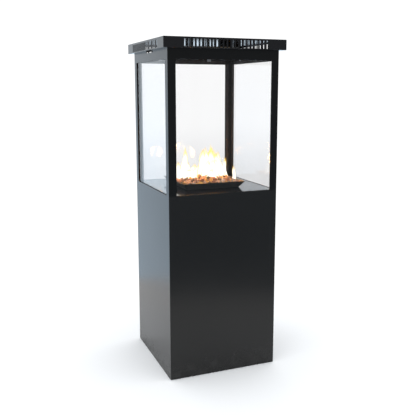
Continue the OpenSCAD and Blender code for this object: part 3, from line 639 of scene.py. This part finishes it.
def flames():
    """The sheets of burning gas that cross in each flame, each with a grid from 0 to 1 across
    and up it for the flame's colour."""
    rng = np.random.default_rng(5)
    across, up = 33, 17
    u, t = np.meshgrid(np.linspace(-1, 1, across), np.linspace(0, 1, up))
    k = np.arange((up - 1) * across).reshape(up - 1, across)[:, :-1].ravel()
    quads = np.stack([k, k + 1, k + across + 1, k + across], axis=1)
    points, faces, uvs = [], [], []
    for flame in FLAMES:
        count = flame[3]
        for sheet in range(count):
            way = sheet * math.pi / count + rng.uniform(-0.12, 0.12)
            faces.append(quads + len(points) * u.size)
            points.append(flame_sheet(rng, u, t, flame, way))
            uvs.append(np.stack([(u.ravel() + 1) / 2, t.ravel()], axis=1))
    made = piece("flames", np.concatenate(points), np.concatenate(faces), "ember_stone", smooth=True)
    made.data.materials.clear()
    made.data.materials.append(flame_gas("flame_gas"))
    made.visible_shadow = False
    uv = np.concatenate(uvs)
    layer = made.data.uv_layers.new(name="tongue")
    corners = np.empty(len(made.data.loops), np.int32)
    made.data.loops.foreach_get("vertex_index", corners)
    layer.data.foreach_set("uv", uv[corners].astype(np.float32).ravel())


# --- folded sheets --------------------------------------------------------------------------

CAP_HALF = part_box("cap_top")[1][0]
CAP_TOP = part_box("cap_top")[1][2]


def at_corner(half):
    """Picks the upright edges at the four outer corners of a square of this half width."""
    def picks(a, b):
        return all(abs(abs(p.x) - half) < CLOSE and abs(abs(p.y) - half) < CLOSE for p in (a, b))
    return picks


def cap_rim(a, b):
    """Picks the cap top's outer rim and its four corners."""
    rim = [max(abs(p.x), abs(p.y)) > CAP_HALF - CLOSE and p.z > CAP_TOP - CLOSE for p in (a, b)]
    return all(rim) or at_corner(CAP_HALF)(a, b)


def door_rim(a, b):
    """Picks the four edges round the door's outer face."""
    low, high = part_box("door_panel")
    return all(p.y > high[1] - CLOSE
               and (abs(abs(p.x) - high[0]) < CLOSE
                    or min(abs(p.z - low[2]), abs(p.z - high[2])) < CLOSE) for p in (a, b))


def sheet_metal():
    """Rounds the bends of the sheets that are seen: panels, window posts, cap and door."""
    for node in ("front_panel", "rear_frame", "control_panel", "post_front_left",
                 "post_front_right", "post_rear_right", "post_rear_left"):
        folded(node, COLUMN, at_corner(HALF))
    folded("cap_top", "cap", cap_rim)
    folded("cap_grilles", "cap", at_corner(CAP_HALF))
    folded("door_panel", "door", door_rim)


# --- small fittings -------------------------------------------------------------------------

def turned(profile, sides):
    """Points and faces of a solid of revolution about +Z: profile is (radius, height) from the
    axis at the foot to the axis at the top, each ring at radius * (cos a, sin a)."""
    profile = np.asarray(profile, float)
    angle = np.linspace(0, 2 * math.pi, sides, endpoint=False)
    ring = np.stack([np.cos(angle), np.sin(angle)], axis=1)
    inner = profile[1:-1]
    rings = np.concatenate([np.column_stack([r * ring, np.full(sides, z)]) for r, z in inner])
    ends = np.array([[0, 0, profile[0][1]], [0, 0, profile[-1][1]]])
    count = len(inner)
    faces = [quad[::-1] for quad in lattice(count, sides)]
    for k in range(sides):
        n = (k + 1) % sides
        faces.append((count * sides, n, k))
        faces.append((count * sides + 1, (count - 1) * sides + k, (count - 1) * sides + n))
    return np.concatenate([rings, ends]), faces


def screw_head(radius, height):
    """A low domed head with a round socket sunk in it, seat at z = 0."""
    sweep = math.pi / 2.6
    arc = np.linspace(0, sweep, 6)
    dome = [(radius * math.cos(a), height * math.sin(a) / math.sin(sweep)) for a in arc]
    socket = [(radius * 0.42, height), (radius * 0.40, height * 0.45)]
    return turned([(0, 0), (radius, 0)] + dome[1:] + socket + [(0, height * 0.4)], 24)


def placed(shape, spots, way=(0, 0, 1)):
    """Copies of one shape, its +Z turned along way, at each spot, as one set of arrays."""
    points, faces = shape
    turn = np.array(Vector((0, 0, 1)).rotation_difference(Vector(way)).to_matrix())
    solid = np.asarray(points) @ turn.T
    all_points = np.concatenate([solid + np.array(s) for s in spots])
    all_faces = [tuple(i + k * len(solid) for i in f) for k in range(len(spots)) for f in faces]
    return all_points, all_faces


def stroke(start, end, width, height, up):
    """A low rounded stroke of paint lying on a surface: along = |cos u|^0.35, across and up =
    (sin u)^0.6 times cos v and the positive part of sin v."""
    rings, around = 7, 12
    start, end, up = (np.asarray(v, float) for v in (start, end, up))
    way = (end - start) / 2
    side = np.cross(up, way / np.linalg.norm(way))
    u, v = np.meshgrid(np.linspace(0, math.pi, rings + 2)[1:-1],
                       np.linspace(0, 2 * math.pi, around + 1)[:-1], indexing="ij")
    along = np.sign(np.cos(u)) * np.abs(np.cos(u)) ** 0.35
    swell = np.sin(u) ** 0.6
    body = ((start + end) / 2 + along[..., None] * way
            + (swell * np.cos(v) * width / 2)[..., None] * side
            + (swell * np.maximum(np.sin(v), 0) * height)[..., None] * up)
    points = np.concatenate([body.reshape(-1, 3), [end], [start]])
    last, tip = (rings - 1) * around, rings * around
    faces = lattice(rings, around)
    for k in range(around):
        n = (k + 1) % around
        faces += [(tip, k, n), (tip + 1, last + n, last + k)]
    return points, faces


def dial():
    """Tick marks every 30 degrees round the knob's turn of 210 degrees, longer at 0, 90 and 210,
    and the knob's pointer. Both lie 0.02 mm off the face they are painted on."""
    low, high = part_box("control_knob")
    z = (low[2] + high[2]) / 2
    radius = (high[2] - low[2]) / 2
    off_face = 0.02 * MM
    points, faces = [], []
    for k in range(8):
        angle = math.radians(30 * k)
        way = np.array([math.sin(angle), 0.0, math.cos(angle)])
        inner = np.array([0.0, HALF + off_face, z]) + way * (radius + 4 * MM)
        reach = (8.5 if k in (0, 3, 7) else 5.5) * MM
        tick, sides = stroke(inner, inner + way * reach, 1.2 * MM, 0.2 * MM, (0, 1, 0))
        faces += [tuple(i + len(points) * len(tick) for i in side) for side in sides]
        points.append(tick)
    piece("dial_marks", np.concatenate(points), faces, "white_ceramic", smooth=True)
    groove = high[1] - 1 * MM + off_face
    pointer = stroke((0, groove, z + 6.5 * MM), (0, groove, z + radius - 1 * MM), 1.7 * MM,
                     0.7 * MM, (0, 1, 0))
    piece("knob_pointer", *pointer, "white_ceramic", "knob", smooth=True)


def weld_bead():
    """The rippled seam round the bottle's waist: a ring of radius R + 1.2 mm cos v with ripples of
    cos 90 a along it, and 2.4 mm sin v high to each side."""
    low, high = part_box("gas_bottle")
    waist, radius = low[2] + 231 * MM, (high[0] - low[0]) / 2 - 0.2 * MM
    along, around = 240, 8
    a, v = np.meshgrid(np.linspace(0, 2 * math.pi, along + 1)[:-1],
                       np.linspace(0, 2 * math.pi, around + 1)[:-1], indexing="ij")
    out = radius + 1.2 * MM * np.cos(v) * (1 + 0.22 * np.cos(90 * a))
    points = np.stack([out * np.cos(a), out * np.sin(a), waist + 2.4 * MM * np.sin(v)], axis=-1)
    piece("bottle_weld_bead", points.reshape(-1, 3), lattice(along, around, closed=True),
          "bottle_paint", smooth=True)


def fittings():
    """Screws on the hinge leaves and on the cap over its spacers."""
    leaf, thick = 70 * MM, 2 * MM
    for node, body in (("hinge_frame_leaves", COLUMN), ("hinge_door_leaves", "door")):
        low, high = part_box(node)
        outer = high[0] if body == COLUMN else low[0]
        x = outer - math.copysign(9.5 * MM, outer - (low[0] + high[0]) / 2)
        spots = [(x, HALF + thick, z + rise) for z in (low[2], high[2] - leaf)
                 for rise in (leaf / 5, leaf * 4 / 5)]
        heads = placed(screw_head(4.2 * MM, 2.2 * MM), spots, (0, 1, 0))
        piece(node + "_screws", *heads, "bright_zinc", body)
    low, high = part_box("deflector_spacers")
    inset = 6 * MM
    spots = [(sx * (high[0] - inset), sy * (high[1] - inset), CAP_TOP)
             for sx in (-1, 1) for sy in (-1, 1)]
    piece("cap_screws", *placed(screw_head(5 * MM, 2.6 * MM), spots), "cap_gloss_black", "cap")


# --- camera and light -----------------------------------------------------------------------

def build_camera():
    """A camera to the left of the front, a little below the cap's height, looking slightly down.
    Its place is counted in widths of the column."""
    data = bpy.data.cameras.new("camera")
    data.sensor_width = 36.0
    data.lens = 52.8
    data.shift_y = -0.03
    made = added("camera", data)
    yaw, pitch = 0.3804, -0.1734
    width = 2 * HALF
    made.location = (-2.0427 * width, -5.2274 * width, 2.5087 * width)
    look = Vector((math.sin(yaw) * math.cos(pitch), math.cos(yaw) * math.cos(pitch), math.sin(pitch)))
    made.rotation_euler = look.to_track_quat("-Z", "Y").to_euler()
    bpy.context.scene.camera = made


def soft_box(name, place, target, side, energy):
    """A square lamp at a place, turned towards a target."""
    data = bpy.data.lights.new(name, "AREA")
    data.shape = "SQUARE"
    data.size = side
    data.energy = energy
    made = added(name, data)
    made.location = place
    way = Vector(target) - Vector(place)
    made.rotation_euler = way.to_track_quat("-Z", "Y").to_euler()


def fire_light(name, place, energy):
    """A small warm lamp inside the flames."""
    data = bpy.data.lights.new(name, "POINT")
    data.energy = energy
    data.color = (1.0, 0.46, 0.12)
    data.shadow_soft_size = 30 * MM
    added(name, data).location = place


def studio_world(name):
    """White light from every side. A mirror sees it dimmer towards the camera's side, from 0.34
    to 1.30 over Y, and cooler, most of all below the horizon."""
    w = Nodes(bpy.data.worlds.new(name), "OutputWorld")
    way = w.node("TexCoord", output="Generated")
    depth = w.node("SeparateXYZ", values={0: way}, output="Y")
    height = w.node("SeparateXYZ", values={0: way}, output="Z")
    mirrored = w.node("MapRange", {"interpolation_type": "SMOOTHSTEP"},
                      {0: depth, 1: -0.75, 2: 0.6, 3: 0.34, 4: 1.30})
    below = w.node("MapRange", values={0: height, 1: 0.1, 2: -0.1})
    soft = w.node("Mix", values={0: w.node("LightPath", output="Is Diffuse Ray"), 2: mirrored, 3: 1.30})
    strength = w.node("Mix", values={0: w.node("LightPath", output="Is Camera Ray"), 2: soft, 3: 1.12})
    cool = w.mix(below, rgb(0.93, 0.985, 1.03), rgb(0.83, 1.0, 1.16))
    tint = w.mix(w.node("LightPath", output="Is Glossy Ray"), rgb(1.0, 1.0, 1.0), cool)
    return w.done(w.node("Background", values={"Color": tint, "Strength": strength}))


def studio():
    """A white ground under a white world, one large lamp and the light of the flames."""
    ground = bpy.data.meshes.new("studio_floor")
    turn = np.linspace(0, 2 * math.pi, 97)[:-1]
    rim = 1.25 * np.stack([np.cos(turn), np.sin(turn), np.zeros(96)], axis=1)
    ground.from_pydata(rim.tolist(), [], [tuple(range(96))])
    ground.materials.append(studio_floor("studio_floor"))
    added("studio_floor", ground)
    bpy.context.scene.world = studio_world("studio")
    soft_box("key", (-2.6, -2.2, 3.2), (0, 0, 0.8), 2.2, 7)
    for k, (*place, energy) in enumerate(((0.04, 0.03, 0.90, 2.4), (-0.08, 0.02, 0.89, 0.9),
                                          (0.09, 0.04, 0.88, 1.4))):
        fire_light(f"fire_{k}", place, energy)


build_camera()
studio()
heap_of_stones()
flames()
sheet_metal()
fittings()
dial()
weld_bead()

bpy.context.scene.view_settings.view_transform = "Standard"
